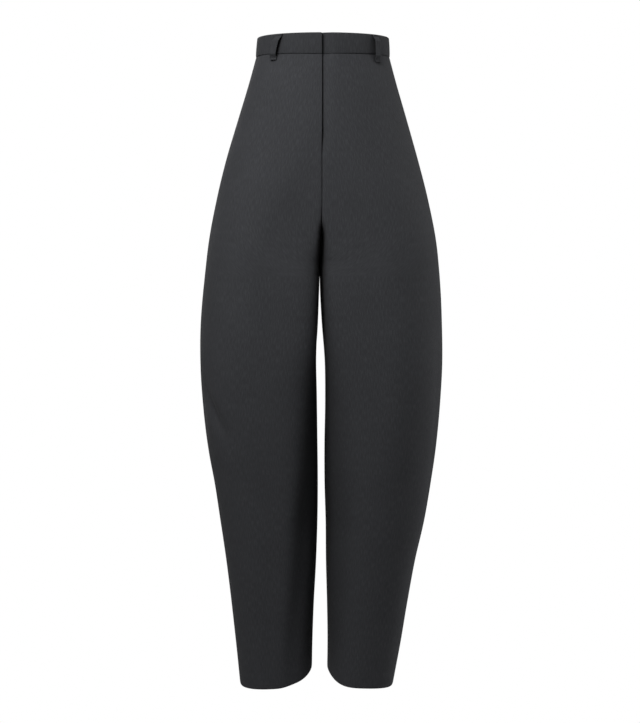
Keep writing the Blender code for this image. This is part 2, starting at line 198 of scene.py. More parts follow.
# What a point with no raw edge near it has as its distance from one
UNCUT = 0.02

# The panels' top edges inside the band, highest first, and the hem where it is turned up over a seam
TUCK = (0.0100, 0.0050, 0.0015)
TUCK_DEPTH, TUCK_FLATTENS = 0.00055, 0.45
WAIST_ROLL, WAIST_ROLL_WIDTH = 0.0005, 0.0012
FRONT_DIP, FRONT_DIP_WIDTH, FRONT_DIP_FADES = 0.0028, 0.070, 0.070
# The band leans in at its top, more on the right than on the left. The band and the belt loops get a darker
# copy of the wool: painted shade, for the less light that falls on the band.
BAND_LEANS, BAND_PAINTED_SHADE = (0.024, 0.013), 0.88
HEM_OVER_SEAM, HEM_OVER_SEAM_FADES, HEM_ALLOWANCE = 0.0019, (0.012, 0.018), 0.0019
CENTRE_SEAM_EASE = 0.0030

# The valley between the thighs, whose walls are steeper the higher VALLEY_WALLS is
VALLEY_DEPTH = 0.020
VALLEY_WIDTHS = {RIGHT: 0.0016, LEFT: 0.0055}
VALLEY_WALLS = {RIGHT: 2, LEFT: 4}
VALLEY_REACH = (0.060, 0.100)
VALLEY_BEGINS, VALLEY_ENDS = (-0.285, -0.322), (-0.430, -0.500)

# The fly facing, whose edge shows faintly beside the fly: straight down, then round to the fly at its foot
FACING_WIDTH, FACING_TURN, FACING_DROP, FACING_BEGINS = 0.039, -0.110, 0.036, 0.06
FACING_DEPTH, FACING_EDGE = 0.0003, 0.0022

# Waistband: its ends, its fold and how far its inner side runs past the waist seam
BAND_STOPS = (0.0, 0.0003, 0.0007, 0.0012, 0.0020, 0.0035, 0.0065)
BAND_RISES = (0.0, 0.0004, 0.0010, 0.0018, 0.0030)
BAND_COLUMNS, BAND_ROWS, BAND_FOLD_ROWS, BAND_INNER_ROWS = 92, 13, 9, 10
BAND_FOLD = BAND_WALL / 2
BAND_PAST_SEAM = 0.0017
BAND_GROOVE, BAND_GROOVE_WIDTH = 0.0022, 0.0050
BAND_ROLL, BAND_ROLL_WIDTH = 0.0004, 0.0010
BAND_END_ROUND, BAND_END_THIN = 0.0015, 0.55
BAND_CORNER, BAND_CORNER_DROP, BACK_CORNER_SHARE = 0.0022, 0.0013, 0.3

# Belt loops and the tacks that hold them
LOOP_RINGS, LOOP_RING_POINTS, LOOP_SQUARE = 46, 20, 3.4
LOOP_END_ROUND, LOOP_END_LEAST, LOOP_END_NARROWS = 0.0009, 0.02, 0.1
LOOP_PINCH, LOOP_PINCH_WIDTH, LOOP_CROWN = 0.25, 0.0012, 0.0009
TACK_FROM_END, TACK_THREADS, TACK_REACH, TACK_LENGTH = 0.0032, 15, 0.42, 0.0017
THREAD = 0.00028

# Zip behind the fly. A tooth of its coil is as wide, deep and high as COIL_TOOTH says.
TAPE_ROWS, TAPE_COLUMNS = 46, 17
COIL_TOP, COIL_FOOT, COIL_PITCH = -0.0190, -0.1400, 0.0012
COIL_TOOTH = (0.0042, 0.0011, 0.0008)
COIL_X, COIL_STAGGER, COIL_BEVEL, COIL_STANDS = -0.0040, 0.0005, 0.3, 0.4

# Finishes. A wave texture at scale 1 repeats every STRAIGHT_WAVE, or every DIAGONAL_WAVE on the diagonal.
STRAIGHT_WAVE, DIAGONAL_WAVE = 0.314, 0.444
FIBRE_WIDTH, FIBRE_LENGTH = 0.0014, 0.011
CLOUD_SCALE, NAP_SCALE, GRAIN_SCALE = 17.0, 2600.0, 1800.0
OVERLOCK_ENDS = (0.0042, 0.0050)
CLOUD_TONES, TWILL_TONES, RIBBED_TONES = (0.92, 1.08), (0.88, 1.10), (0.75, 1.15)
PALE_SHARES, PALE_STREAKS = (0.0, 0.38), (0.42, 0.80)
Ribs = namedtuple("Ribs", "spacing direction roughness specular")
THREAD_RIBS = Ribs(0.0004, "Z", 0.6, 0.4)
TAPE_RIBS = Ribs(0.0009, "Z", 0.8, 0.25)
COIL_RIBS = Ribs(0.0012, "X", 0.4, 0.5)

# Studio. The power of each light is in TrouserStudio.
FLOOR_HEIGHT, FLOOR_GREY = -1.30, 0.45
SENSOR_WIDTH = 36.0
WHITE = (1, 1, 1, 1)
Light = namedtuple("Light", "name spot aim size")
LIGHTS = [
    Light(*row)
    for row in (
        # name, spot, aim, size
        ("key", (-0.9, -1.3, 0.7), (0, 0, -0.2), 0.8),
        ("top", (-0.3, -1.3, 1.5), (0, 0, -0.3), 1.0),
        ("fill", (1.7, -0.4, -0.4), (0, 0, -0.5), 1.0),
        ("rim", (1.9, 0.5, 0.1), (0, 0, -0.5), 1.4),
        ("back", (-0.7, 2.3, 0.9), (0, 0, -0.5), 1.6),
    )
]


class TrouserCloth(bpy.types.PropertyGroup):
    """What the cloth looks like."""

    wool: FloatVectorProperty(
        name="Wool", description="Colour of the wool",
        default=(0.0413, 0.0425, 0.0467), subtype="COLOR",
    )
    wool_light: FloatVectorProperty(
        name="Light fibres", description="Colour of the paler fibres in the wool",
        default=(0.085, 0.0875, 0.0955), subtype="COLOR",
    )
    thread: FloatVectorProperty(
        name="Thread", description="Colour of the sewing thread",
        default=(0.030, 0.030, 0.032), subtype="COLOR",
    )
    zip_tape: FloatVectorProperty(
        name="Zip tape", description="Colour of the zip's tape and coil",
        default=(0.012, 0.012, 0.013), subtype="COLOR",
    )
    twill: FloatProperty(
        name="Twill", description="Distance between two ribs of the twill",
        default=0.0011, unit="LENGTH",
    )
    # Painted shade: the wool's colour darkens in hollows, creases, seams and between parts, as far as this
    # reach and down to the tone below.
    painted_shade_reach: FloatProperty(
        name="Hollow reach", description="How wide a hollow still looks darker",
        default=0.12, unit="LENGTH",
    )
    painted_shade_tone: FloatProperty(
        name="Hollow tone", description="Tone of the cloth deep in a hollow",
        default=0.15, min=0, max=1, subtype="FACTOR",
    )
    sheen: FloatProperty(
        name="Sheen", description="Soft shine of the nap",
        default=0.035, min=0, max=1, subtype="FACTOR",
    )


class TrouserStudio(bpy.types.PropertyGroup):
    """Camera, lights and floor."""

    distance: FloatProperty(
        name="Distance", description="Camera to the middle of the trousers",
        default=2.5, unit="LENGTH",
    )
    camera_height: FloatProperty(
        name="Height", description="Camera above the waist, or below it where negative",
        default=-0.261, unit="LENGTH",
    )
    camera_across: FloatProperty(
        name="Across", description="Camera to the side of the centre front",
        default=-0.0034, unit="LENGTH",
    )
    pitch: FloatProperty(
        name="Pitch", description="How far the camera looks down",
        default=math.radians(6.0746), subtype="ANGLE",
    )
    lens: FloatProperty(
        name="Lens", description="Focal length of the camera in millimetres",
        default=73.22, unit="CAMERA",
    )
    key_power: FloatProperty(
        name="Key", description="Power of the main light",
        default=20.6, unit="POWER",
    )
    top_power: FloatProperty(
        name="Top", description="Power of the light overhead",
        default=18.6, unit="POWER",
    )
    fill_power: FloatProperty(
        name="Fill", description="Power of the low light",
        default=2.4, unit="POWER",
    )
    rim_power: FloatProperty(
        name="Rim", description="Power of the light at the side",
        default=19.5, unit="POWER",
    )
    back_power: FloatProperty(
        name="Back", description="Power of the light behind",
        default=26.0, unit="POWER",
    )
    ambient: FloatProperty(
        name="Surroundings", description="Light from all round",
        default=0.01, min=0, max=2,
    )
    floor_size: FloatProperty(
        name="Floor size", description="Length of one side of the floor",
        default=60.0, unit="LENGTH",
    )


def eased(value, start, end):
    """0 before start and 1 after end, with a smooth rise between."""
    share = np.clip((np.asarray(value, float) - start) / (end - start), 0.0, 1.0)
    return share * share * (3 - 2 * share)


def column(name, height):
    """A smooth curve through one column of SECTIONS, read at a height."""
    values = np.array([getattr(section, name) for section in SECTIONS])[::-1]
    slopes = np.gradient(values, HEIGHTS)
    low = int(np.clip(np.searchsorted(HEIGHTS, height) - 1, 0, len(HEIGHTS) - 2))
    span = HEIGHTS[low + 1] - HEIGHTS[low]
    t = (height - HEIGHTS[low]) / span
    return float(
        (2 * t**3 - 3 * t**2 + 1) * values[low]
        + (t**3 - 2 * t**2 + t) * span * slopes[low]
        + (3 * t**2 - 2 * t**3) * values[low + 1]
        + (t**3 - t**2) * span * slopes[low + 1]
    )


def side_name(side):
    """The side's word in the names of pieces and columns."""
    return "right" if side == RIGHT else "left"


def lengths_along(path):
    """How far along a path each of its points lies."""
    return np.concatenate([[0.0], np.cumsum(np.linalg.norm(np.diff(path, axis=0), axis=1))])


def distinct(path):
    """A path without the points that repeat the one before them."""
    moved_on = np.linalg.norm(np.diff(path, axis=0), axis=1) > SAME_POINT
    return path[np.concatenate([[True], moved_on])]


def points_at(path, places):
    """The points that lie this far along a path."""
    along = lengths_along(path)
    return np.stack([np.interp(places, along, path[:, axis]) for axis in range(3)], axis=1)


def centre_curve(face, rows):
    """The centre seam of one face where it curves under, from its top down to the crotch point."""
    turn = np.linspace(0, math.pi / 2, DENSE)
    height = CURVE_TOPS[face] + (CROTCH_HEIGHT - CURVE_TOPS[face]) * np.sin(turn)
    depth = np.array([column(face, z) for z in height])
    across = np.array([column("in_right", z) for z in height])
    path = np.stack([across, CROTCH_Y + (depth - CROTCH_Y) * np.cos(turn), height], axis=1)
    return points_at(path, np.linspace(0, lengths_along(path)[-1], rows + 1))


def leg_shares():
    """How far down the leg each row lies, closer together at the hem, where they lie at HEM_STOPS."""
    length = CROTCH_HEIGHT - HEM_OUT
    upper = np.linspace(0, 1 - HEM_STOPS[-1] / length, LEG_ROWS)[1:]
    return np.concatenate([upper, 1 - np.array(HEM_STOPS[-2::-1]) / length])


def edge_points(side, face):
    """For every row of a panel, its height at the side seam and its point on the centre seam or inseam."""
    top = CURVE_TOPS[face]
    rows = []
    start = WAIST_SEAM - SEAM_GAP
    under_band = start - np.array(UNDER_BAND)
    for height in np.concatenate([under_band, np.linspace(start, top, SEAM_UPPER_ROWS + 1)[1:-1]]):
        rows.append((height, (column("in_right", height), column(face, height), height)))
    for share, point in zip(np.linspace(0, 1, CURVE_ROWS + 1), centre_curve(face, CURVE_ROWS)):
        rows.append((top + (CROTCH_HEIGHT - top) * share, tuple(point)))
    for share in leg_shares():
        inner = CROTCH_HEIGHT + (HEM_IN - CROTCH_HEIGHT) * share
        seam_y = CROTCH_Y + (HEM_INSEAM_Y - CROTCH_Y) * share
        seam_x = column("in_" + side_name(side), inner)
        rows.append((CROTCH_HEIGHT + (HEM_OUT - CROTCH_HEIGHT) * share, (seam_x, seam_y, inner)))
    return rows


def face_curve(side, face, height, edge):
    """One face's outer line at a row, from its inner edge round to the side seam."""
    out_x = column("out_" + side_name(side), height)
    far_y = column(face, height)
    leg_middle = (column("in_" + side_name(side), height) + out_x) / 2
    apex_x = leg_middle * float(eased(height, APEX_STARTS, APEX_ENDS))
    square = column("square", height)
    if (side, face) == (RIGHT, "front"):
        sharp = eased(height, *CORNER_SHARPENS) * (1 - eased(height, *CORNER_SOFTENS))
        square += (SHARP_CORNER - square) * float(sharp)
    turn = np.linspace(0, math.pi / 2, DENSE)
    fall, rise = np.cos(turn), np.sin(turn)
    deep = min(abs(far_y - edge[1]), column("corner", height))
    corner_y = far_y - math.copysign(deep, far_y)
    inner_x = apex_x + (edge[0] - apex_x) * fall ** (2 / square)
    inner_y = corner_y + (far_y - corner_y) * rise ** (2 / square)
    outer_x = apex_x + (out_x - apex_x) * rise ** (2 / OUTER_SQUARE)
    outer_y = far_y * fall ** (2 / OUTER_SQUARE)
    x = np.concatenate([[edge[0]], inner_x, outer_x[1:]])
    y = np.concatenate([[edge[1]], inner_y, outer_y[1:]])
    path = distinct(np.stack([x, y, np.full(len(x), float(height))], axis=1))
    if edge[2] > CROTCH_HEIGHT:
        along = lengths_along(path)
        nearness = 1 - along / along[-1]
    else:
        nearness = (out_x - path[:, 0]) / (out_x - edge[0])
        at_hem = float(eased(height, HEM_LINE_BEGINS, HEM_OUT))
        path[:, 2] += HEM_LIFTS[face][side] * at_hem * 4 * nearness * (1 - nearness)
        nearness **= 1 + (HEM_STEEPNESS[face][side] - 1) * at_hem
    path[:, 2] += (edge[2] - height) * nearness
    return path


def centre_point(face, height):
    """The centre of one face at a height above the crotch."""
    return 0.0, column(face, height), height


def carried_past(path, other, reach, dip):
    """The left side's path, run on past the centre behind the right side's line."""
    x = np.linspace(-reach, 0, UNDERLAP_COLUMNS)[:-1]
    y = np.interp(-x, -other[:, 0], other[:, 1]) + dip
    return np.vstack([np.stack([x, y, np.full(len(x), path[0, 2])], axis=1), path])


def tucked_under(path, height):
    """The left front's line at a row: in the fly it dips behind the right front and runs on under it."""
    reach = FLY_UNDERLAP * (1 - float(eased(height, FLY_END + UNDERLAP_FADES, FLY_END)))
    in_fly = 1 - float(eased(height, FLY_END, FLY_END - LAP_FADES))
    dip = (CAD_CLOTH + SEAM_GAP) * in_fly
    if dip == 0.0:
        return path
    moved = path.copy()
    beside = 1 - eased(path[:, 0], 0.0, FLY_BLEND)
    under_band = 1 - float(eased(WAIST_SEAM - height, 0.0, GROOVE_UNDER_BAND))
    groove = np.maximum(np.exp(-path[:, 0] / GROOVE_WIDTH), beside * under_band)
    moved[:, 1] += dip * beside + GROOVE_DEPTH * groove * in_fly
    if reach > SEAM_GAP:
        over = face_curve(RIGHT, "front", height, centre_point("front", height))
        moved = carried_past(moved, over, reach, dip + GROOVE_DEPTH)
    return moved


def column_places(length):
    """Where the columns of a panel lie along a row, closer together at both seams."""
    middle = np.linspace(EDGE_STOPS[-1], length - EDGE_STOPS[-1], MIDDLE_COLUMNS)[1:-1]
    return np.concatenate([EDGE_STOPS, middle, length - np.array(EDGE_STOPS[::-1])])


def panel_grid(side, face):
    """A leg panel's outer points, a row at a time from the waist to the hem, and each row's length."""
    rows, lengths = [], []
    for row, (height, edge) in enumerate(edge_points(side, face)):
        path = face_curve(side, face, height, edge)
        if row <= CROTCH_ROW:
            path[:, 0] = side * np.maximum(side * path[:, 0], side * edge[0])
        if (side, face) == (LEFT, "front"):
            path = tucked_under(path, height)
        length = lengths_along(path)[-1]
        rows.append(points_at(path, column_places(length)))
        lengths.append(length)
    return np.array(rows), np.array(lengths)


def outward_normals(front, back, side):
    """Normals of both panels of a leg, shared along the seams so that the cloth runs on across them."""
    ring = np.concatenate([front, back[:, ::-1]], axis=1)
    last = front.shape[1] - 1
    along = np.empty_like(ring)
    along[:, 1:-1] = ring[:, 2:] - ring[:, :-2]
    along[:, last] = along[:, last + 1] = ring[:, last + 3] - ring[:, last - 2]
    along[:, 0] = ring[:, 2] - ring[:, 0]
    along[:, -1] = ring[:, -1] - ring[:, -3]
    along[CROTCH_ROW:, 0] = along[CROTCH_ROW:, -1] = ring[CROTCH_ROW:, 2] - ring[CROTCH_ROW:, -3]
    down = np.gradient(ring, axis=0)
    normal = np.cross(down, along) * side
    normal /= np.linalg.norm(normal, axis=2, keepdims=True)
    faces = normal[:, : last + 1], normal[:, last + 1 :][:, ::-1]
    closed = slice(CROTCH_ROW + 1)
    for points, face_normal, facing in ((front, faces[0], 1), (back, faces[1], -1)):
        seam_down = np.gradient(points[closed, 0], axis=0) * (0, 1, 1)
        in_plane = np.cross(seam_down, (1, 0, 0)) * facing
        in_plane /= np.linalg.norm(in_plane, axis=1, keepdims=True)
        for place, stop in enumerate(EDGE_STOPS):
            share = math.exp(-stop / CENTRE_SEAM_EASE)
            face_normal[closed, place] *= 1 - share
            face_normal[closed, place] += share * in_plane
        face_normal /= np.linalg.norm(face_normal, axis=2, keepdims=True)
    return faces


def fold_depths(side, face, across, height):
    """How far the soft folds move each point of a panel outwards."""
    total = np.zeros_like(height)
    for fold in FOLDS:
        if (fold.side, fold.face) != (side, face):
            continue
        up = (height - fold.height) / fold.length
        beside = (across - fold.across - fold.lean * up) / fold.width
        total += fold.depth * np.exp(-(up**2) - beside**2)
    return total


def ease_of_cloth(points, seed):
    """The slight unevenness of soft cloth: long, shallow waves that never repeat."""
    waves = [
        LONG_WAVE * noise.noise(Vector((x * LONG_ACROSS + seed, y * LONG_ACROSS, z * LONG_ALONG)))
        + SHORT_WAVE * noise.noise(Vector((x * SHORT_ACROSS, y * SHORT_ACROSS + seed, z * SHORT_ALONG)))
        for x, y, z in points.reshape(-1, 3)
    ]
    return np.array(waves).reshape(points.shape[:2])


def dart_depths(face, from_middle, height):
    """The stitched line of a back dart, which fades out at its point."""
    if face == "front":
        return np.zeros_like(height)
    down = WAIST_SEAM - height
    line = np.exp(-((from_middle / DART_WIDTH) ** 2))
    line *= 1 - eased(down, DART_LENGTH * DART_FADES, DART_LENGTH)
    past_point = (down - DART_LENGTH) / DART_POINT_LENGTH
    point = np.exp(-((from_middle / DART_POINT_WIDTH) ** 2) - past_point**2)
    return DART_POINT * point - DART_DEPTH * line


def valley_depths(side, face, points):
    """How far back the fronts draw beside the gap between the thighs."""
    if face == "back":
        return np.zeros(points.shape[:2])
    across, back, height = points[..., 0], points[..., 1], points[..., 2]
    beside = side * (across - across[:, :1])
    behind = back - back.min(axis=1, keepdims=True)
    share = eased(height, *VALLEY_BEGINS) * (1 - eased(height, *VALLEY_ENDS))
    share *= 1 - eased(behind, *VALLEY_REACH)
    walls = np.exp(-((np.abs(beside) / VALLEY_WIDTHS[side]) ** VALLEY_WALLS[side]))
    return VALLEY_DEPTH * share * walls


def facing_depths(side, face, points):
    """The edge of the fly facing, which shows faintly through the right front."""
    if (side, face) != (RIGHT, "front"):
        return np.zeros(points.shape[:2])
    beside = -points[..., 0]
    down = -points[..., 2]
    round_foot = np.maximum(down + FACING_TURN, 0) / FACING_DROP
    edge = FACING_WIDTH * np.sqrt(np.clip(1 - round_foot**2, 0, 1))
    line = np.exp(-(((beside - edge) / FACING_EDGE) ** 2)) * eased(down, -WAIST_SEAM, FACING_BEGINS)
    return -FACING_DEPTH * line * (round_foot < 1)


def rolled_in(distance, depth, width):
    """How deep an edge lies below the cloth beside it, by the distance from the edge."""
    return depth * np.exp(-distance / width)


def turned_back(stops):
    """How deep the turned back layer lies at each stop from the fold."""
    return ALLOWANCE_DEPTH * (0.5 + 0.5 * np.sqrt(np.clip(np.array(stops[1:]) / TURN_WIDTH, 0, 1)))


def inner_rolls(side, face, heights):
    """How deep each row's inner edge rolls in: hardly at the fly's lap, most in the centre seam below it."""
    if face == "back":
        return np.full(len(heights), SEAM_ROLL)
    in_fly = eased(heights, FLY_END - LAP_ROLL_FADES, FLY_END)
    in_legs = eased(heights, CROTCH_HEIGHT + CENTRE_ROLL_FADES, CROTCH_HEIGHT)
    below = CENTRE_ROLL + (SEAM_ROLL - CENTRE_ROLL) * in_legs
    return below + (LAP_ROLL - below) * in_fly * (side == RIGHT)


def as_worn(points):
    """Moves points as the worn waist lies: the band leans in at its top, and its seam dips at the front."""
    worn = np.array(points, float)
    x, y, z = worn[..., 0], worn[..., 1], worn[..., 2]
    up = np.clip((z - WAIST_SEAM) / BAND_HEIGHT, 0, 1)
    near_seam = np.where(z > WAIST_SEAM, 1 - up, 1 - eased(WAIST_SEAM - z, 0.0, FRONT_DIP_FADES))
    worn[..., 0] = x * (1 - np.where(x < 0, *BAND_LEANS) * up)
    worn[..., 2] = z - FRONT_DIP * np.exp(-((x / FRONT_DIP_WIDTH) ** 2)) * near_seam * (y < 0)
    return worn


def shaped_panel(side, face):
    """A panel's outside with its folds, its dart and its facing's edge.

    Gives its points and their normals, how far along its row each point lies, and each row's length.
    """
    grids = {name: panel_grid(side, name) for name in FACES}
    normals = dict(zip(FACES, outward_normals(grids["front"][0], grids["back"][0], side)))
    points, lengths = grids[face]
    stops = np.stack([column_places(length) for length in lengths])
    lengths = lengths[:, None]
    out = fold_depths(side, face, stops / lengths, points[..., 2])
    out += ease_of_cloth(points, WAVE_SEED * side + (face == "back"))
    out *= eased(stops, 0.0, WAVES_FADE) * eased(lengths - stops, 0.0, WAVES_FADE)
    out += dart_depths(face, stops - lengths / 2, points[..., 2])
    out += facing_depths(side, face, points)
    points = points + normals[face] * out[..., None]
    points[..., 1] += valley_depths(side, face, points)
    return points, normals[face], stops, lengths


def laid_out(side, face):
    """The whole cut of a panel: its outside, its turned seam allowances and its turned-up hem.

    Gives its points, its flat coordinates for the weave, and how far each point lies from a cut edge.
    """
    points, normal, stops, lengths = shaped_panel(side, face)
    rows, places = points.shape[:2]
    down = lengths_along(points[:, places // 2])
    strip = len(EDGE_STOPS) - 1
    turn = len(HEM_STOPS) - 1
    turned = np.arange(1, strip + 1)
    column_at = np.concatenate([turned[::-1], np.arange(places), places - 1 - turned])
    row_at = np.concatenate([np.zeros(len(TUCK), int), np.arange(rows), rows - 1 - np.arange(1, turn + 1)])

    inner_roll = inner_rolls(side, face, points[:, 0, 2])
    column_depth = rolled_in(stops, inner_roll[:, None], SEAM_ROLL_WIDTH)
    column_depth += rolled_in(lengths - stops, SEAM_ROLL, SEAM_ROLL_WIDTH)
    column_depth = column_depth[row_at][:, column_at]
    column_depth[:, :strip] = turned_back(EDGE_STOPS)[::-1]
    column_depth[:, -strip:] = turned_back(EDGE_STOPS)
    row_depth = rolled_in(down[-1] - down, HEM_ROLL, HEM_ROLL_WIDTH)
    row_depth += rolled_in(down, WAIST_ROLL, WAIST_ROLL_WIDTH)
    row_depth = np.concatenate([np.full(len(TUCK), TUCK_DEPTH), row_depth, turned_back(HEM_STOPS)])
    depth = column_depth + row_depth[:, None]
    depth[: len(TUCK)] = column_depth[: len(TUCK)] * TUCK_FLATTENS + TUCK_DEPTH
    from_seam = np.minimum(stops[0], lengths[0] - stops[0])
    depth[-turn:, strip:-strip] += HEM_OVER_SEAM * (1 - eased(from_seam, *HEM_OVER_SEAM_FADES))
    depth[-turn:, :strip] = depth[-turn:, -strip:] = HEM_ALLOWANCE
    final = points[row_at][:, column_at] - normal[row_at][:, column_at] * depth[..., None]
    final[: len(TUCK), :, 2] += np.array(TUCK)[:, None]
    final = as_worn(final)

    u = (stops - lengths / 2)[:, column_at]
    u[:, :strip] = u[:, strip : strip + 1] - np.array(EDGE_STOPS[:0:-1])
    u[:, -strip:] = u[:, -strip - 1 : -strip] + np.array(EDGE_STOPS[1:])
    v = np.concatenate([-np.array(TUCK), down, down[-1] + np.array(HEM_STOPS[1:])])
    flat = np.stack([u[row_at], np.repeat(-v[:, None], len(column_at), 1)], axis=2)
    cut = np.full(depth.shape, UNCUT)
    cut[:, :strip] = EDGE_STOPS[-1] - np.array(EDGE_STOPS[:0:-1])
    cut[:, -strip:] = EDGE_STOPS[-1] - np.array(EDGE_STOPS[1:])
    cut[-turn:] = np.minimum(cut[-turn:], (HEM_STOPS[-1] - np.array(HEM_STOPS[1:]))[:, None])
    return final, flat, cut


def mesh_object(name, points, quads, flat):
    """An object from points and faces, with the cloth's flat shape as its UV map."""
    mesh = bpy.data.meshes.new(name)
    mesh.from_pydata(points.reshape(-1, 3).tolist(), [], quads)
    corners = np.empty(len(mesh.loops), np.int32)
    mesh.loops.foreach_get("vertex_index", corners)
    layer = mesh.uv_layers.new(name="Flat")
    layer.data.foreach_set("uv", flat.reshape(-1, 2)[corners].astype(np.float32).ravel())
    made = bpy.data.objects.new(name, mesh)
    bpy.context.scene.collection.objects.link(made)
    only(made)
    return made


def only(*chosen):
    """Selects these objects alone."""
    bpy.ops.object.select_all(action="DESELECT")
    for thing in chosen:
        thing.select_set(True)
    bpy.context.view_layer.objects.active = chosen[0]


def in_edit_mode(change, **settings):
    """Makes one change to the whole of the active mesh in edit mode."""
    bpy.ops.object.mode_set(mode="EDIT")
    bpy.ops.mesh.select_all(action="SELECT")
    change(**settings)
    bpy.ops.object.mode_set(mode="OBJECT")


def mark_cut_edge(piece, distances):
    """Stores how far each point lies from a raw edge, for the overlocking in the wool's finish."""
    layer = piece.data.attributes.new("cut_edge", "FLOAT", "POINT")
    layer.data.foreach_set("value", distances)


def sheet_from(name, points, flat, cut, flip, wall=CLOTH):
    """A cloth sheet from a grid of points, thickened inwards. flip turns its faces round."""
    rows, places = points.shape[:2]
    index = np.arange(rows * places).reshape(rows, places)
    corners = index[:-1, :-1], index[1:, :-1], index[1:, 1:], index[:-1, 1:]
    quads = np.stack(corners, axis=2).reshape(-1, 4)
    if flip:
        quads = quads[:, ::-1]
    sheet = mesh_object(name, points, quads.tolist(), flat)
    mark_cut_edge(sheet, cut.astype(np.float32).ravel())
    thick = sheet.modifiers.new("Cloth", "SOLIDIFY")
    thick.thickness = wall
    thick.offset = -1
    bpy.ops.object.modifier_apply(modifier=thick.name)
    bpy.ops.object.shade_smooth()
    return sheet


def waist_line(side, shift, lap=0.0, dip=0.0):
    """The band's line at the waist for one side, from the centre front round to the centre back.

    shift moves it outwards. lap lengthens its front end past the centre, dip inwards by that much.
    """
    front, back = (face_curve(side, face, WAIST_SEAM, centre_point(face, WAIST_SEAM)) for face in FACES)
    line = np.vstack([front, back[::-1][1:]])
    step = np.gradient(line, axis=0)
    normal = np.stack([step[:, 1], -step[:, 0], np.zeros(len(line))], axis=1) * side
    moved = line + shift * normal / np.linalg.norm(normal, axis=1, keepdims=True)
    moved[0, 0] = moved[-1, 0] = 0.0
    if lap:
        in_front = moved[:, 1] < 0
        moved[:, 1] += dip * (1 - eased(moved[:, 0], 0.0, FLY_BLEND)) * in_front
        moved[:, 1] += BAND_GROOVE * np.exp(-moved[:, 0] / BAND_GROOVE_WIDTH) * in_front
        moved = carried_past(moved, waist_line(RIGHT, shift)[:DENSE], lap, dip + BAND_GROOVE)
    return moved


def band_section():
    """How far out and how high the band lies: up the outside, over the fold and down the inside."""
    straight = np.linspace(BAND_RISES[-1], BAND_HEIGHT - BAND_FOLD, BAND_ROWS)
    rise = np.concatenate([BAND_RISES[:-1], straight])
    out = BAND_PROUD + BAND_BULGE * (1 - (2 * rise / BAND_HEIGHT - 1) ** 2)
    out -= rolled_in(rise, BAND_ROLL, BAND_ROLL_WIDTH)
    turn = np.linspace(0, math.pi, BAND_FOLD_ROWS + 2)[1:-1]
    fold_out = BAND_PROUD - BAND_FOLD + BAND_FOLD * np.cos(turn)
    fold_rise = BAND_HEIGHT - BAND_FOLD + BAND_FOLD * np.sin(turn)
    inside = np.linspace(BAND_HEIGHT - BAND_FOLD, -BAND_PAST_SEAM, BAND_INNER_ROWS)
    return (
        np.concatenate([out, fold_out, np.full(len(inside), BAND_PROUD - BAND_WALL)]),
        np.concatenate([rise, fold_rise, inside]),
    )


def band_points(side):
    """One half of the waistband as a folded sheet: its points, flat coordinates and cut edges."""
    lap = BAND_UNDERLAP if side == LEFT else 0.0
    dip = BAND_WALL + SEAM_GAP + BAND_BULGE
    outs, rises = band_section()
    lines = [waist_line(side, out, lap, dip) for out in (*outs, BAND_PROUD - BAND_FOLD)]
    rows = []
    for line in lines:
        length = lengths_along(line)[-1]
        middle = np.linspace(BAND_STOPS[-1], length - BAND_STOPS[-1], BAND_COLUMNS)[1:-1]
        places = np.concatenate([BAND_STOPS, middle, length - np.array(BAND_STOPS[::-1])])
        rows.append(points_at(line, places))
    centre = rows.pop()
    points = np.array(rows)
    from_end = np.minimum(places, length - places)
    full = np.sqrt(np.clip(1 - (1 - np.minimum(from_end / BAND_END_ROUND, 1)) ** 2, 0, 1))
    points = centre + (points - centre) * (BAND_END_THIN + (1 - BAND_END_THIN) * full)[:, None]
    drop = BAND_CORNER_DROP * np.clip(1 - places / BAND_CORNER, 0, 1) ** 2
    back_drop = BACK_CORNER_SHARE * BAND_CORNER_DROP
    drop += back_drop * np.clip(1 - (length - places) / BAND_CORNER, 0, 1) ** 2
    share = np.clip(rises / BAND_HEIGHT, 0, 1)[:, None]
    points[..., 2] = WAIST_SEAM + rises[:, None] - drop[None, :] * share**2
    points = as_worn(points)
    around = lengths_along(np.stack([outs, rises], axis=1))
    flat = np.stack(np.broadcast_arrays(places[None, :], around[:, None]), axis=2)
    return points, flat, np.full(points.shape[:2], UNCUT)


def cloth_reach(side, face, spot, outward, height):
    """How far the trouser cloth at a height stands out past spot, along outward."""
    if height >= WAIST_SEAM:
        return 0.0
    line = face_curve(side, face, height, centre_point(face, height))
    beside = (line - spot) * (1, 1, 0)
    across = np.array([-outward[1], outward[0], 0.0])
    near = np.abs(beside @ across) < LOOP_WIDTH
    return max(0.0, float((beside @ outward)[near].max()))


def loop_place(loop):
    """Where a belt loop is sewn on the waist: a point, the direction across it and the one outwards."""
    line = waist_line(loop.side, BAND_PROUD + BAND_BULGE)
    bearing = np.degrees(np.arctan2(np.abs(line[:, 0]), -line[:, 1]))
    place = min(int(np.searchsorted(bearing, loop.angle)), len(line) - 2)
    spot = line[place] if loop.angle < 180 else line[-1]
    across = (line[place + 1] - line[place - 1]) * loop.side
    if loop.angle == 180:
        across = np.array([-1.0, 0.0, 0.0])
    across /= np.linalg.norm(across)
    return spot, across, np.array([across[1], -across[0], 0.0])


def loop_middle(loop, height):
    """The middle of a loop's inner side at a height: tacked at both ends, standing off between them."""
    spot, across, outward = loop_place(loop)
    share = (LOOP_TOP - height) / (LOOP_TOP - loop.foot)
    from_end = min(LOOP_TOP - height, height - loop.foot)
    lift = LOOP_STAND_OFF * float(eased(from_end, *LOOP_RISES))
    face = "front" if loop.angle < 90 else "back"
    base = cloth_reach(loop.side, face, spot, outward, height) + SEAM_GAP
    bend = share + loop.bow * share * (1 - share)
    sway = loop.sway * math.sin(2 * math.pi * share)
    middle = spot + outward * (base + lift) + across * loop.side * (loop.lean * bend + sway)
    middle[2] = height
    return middle, across, outward


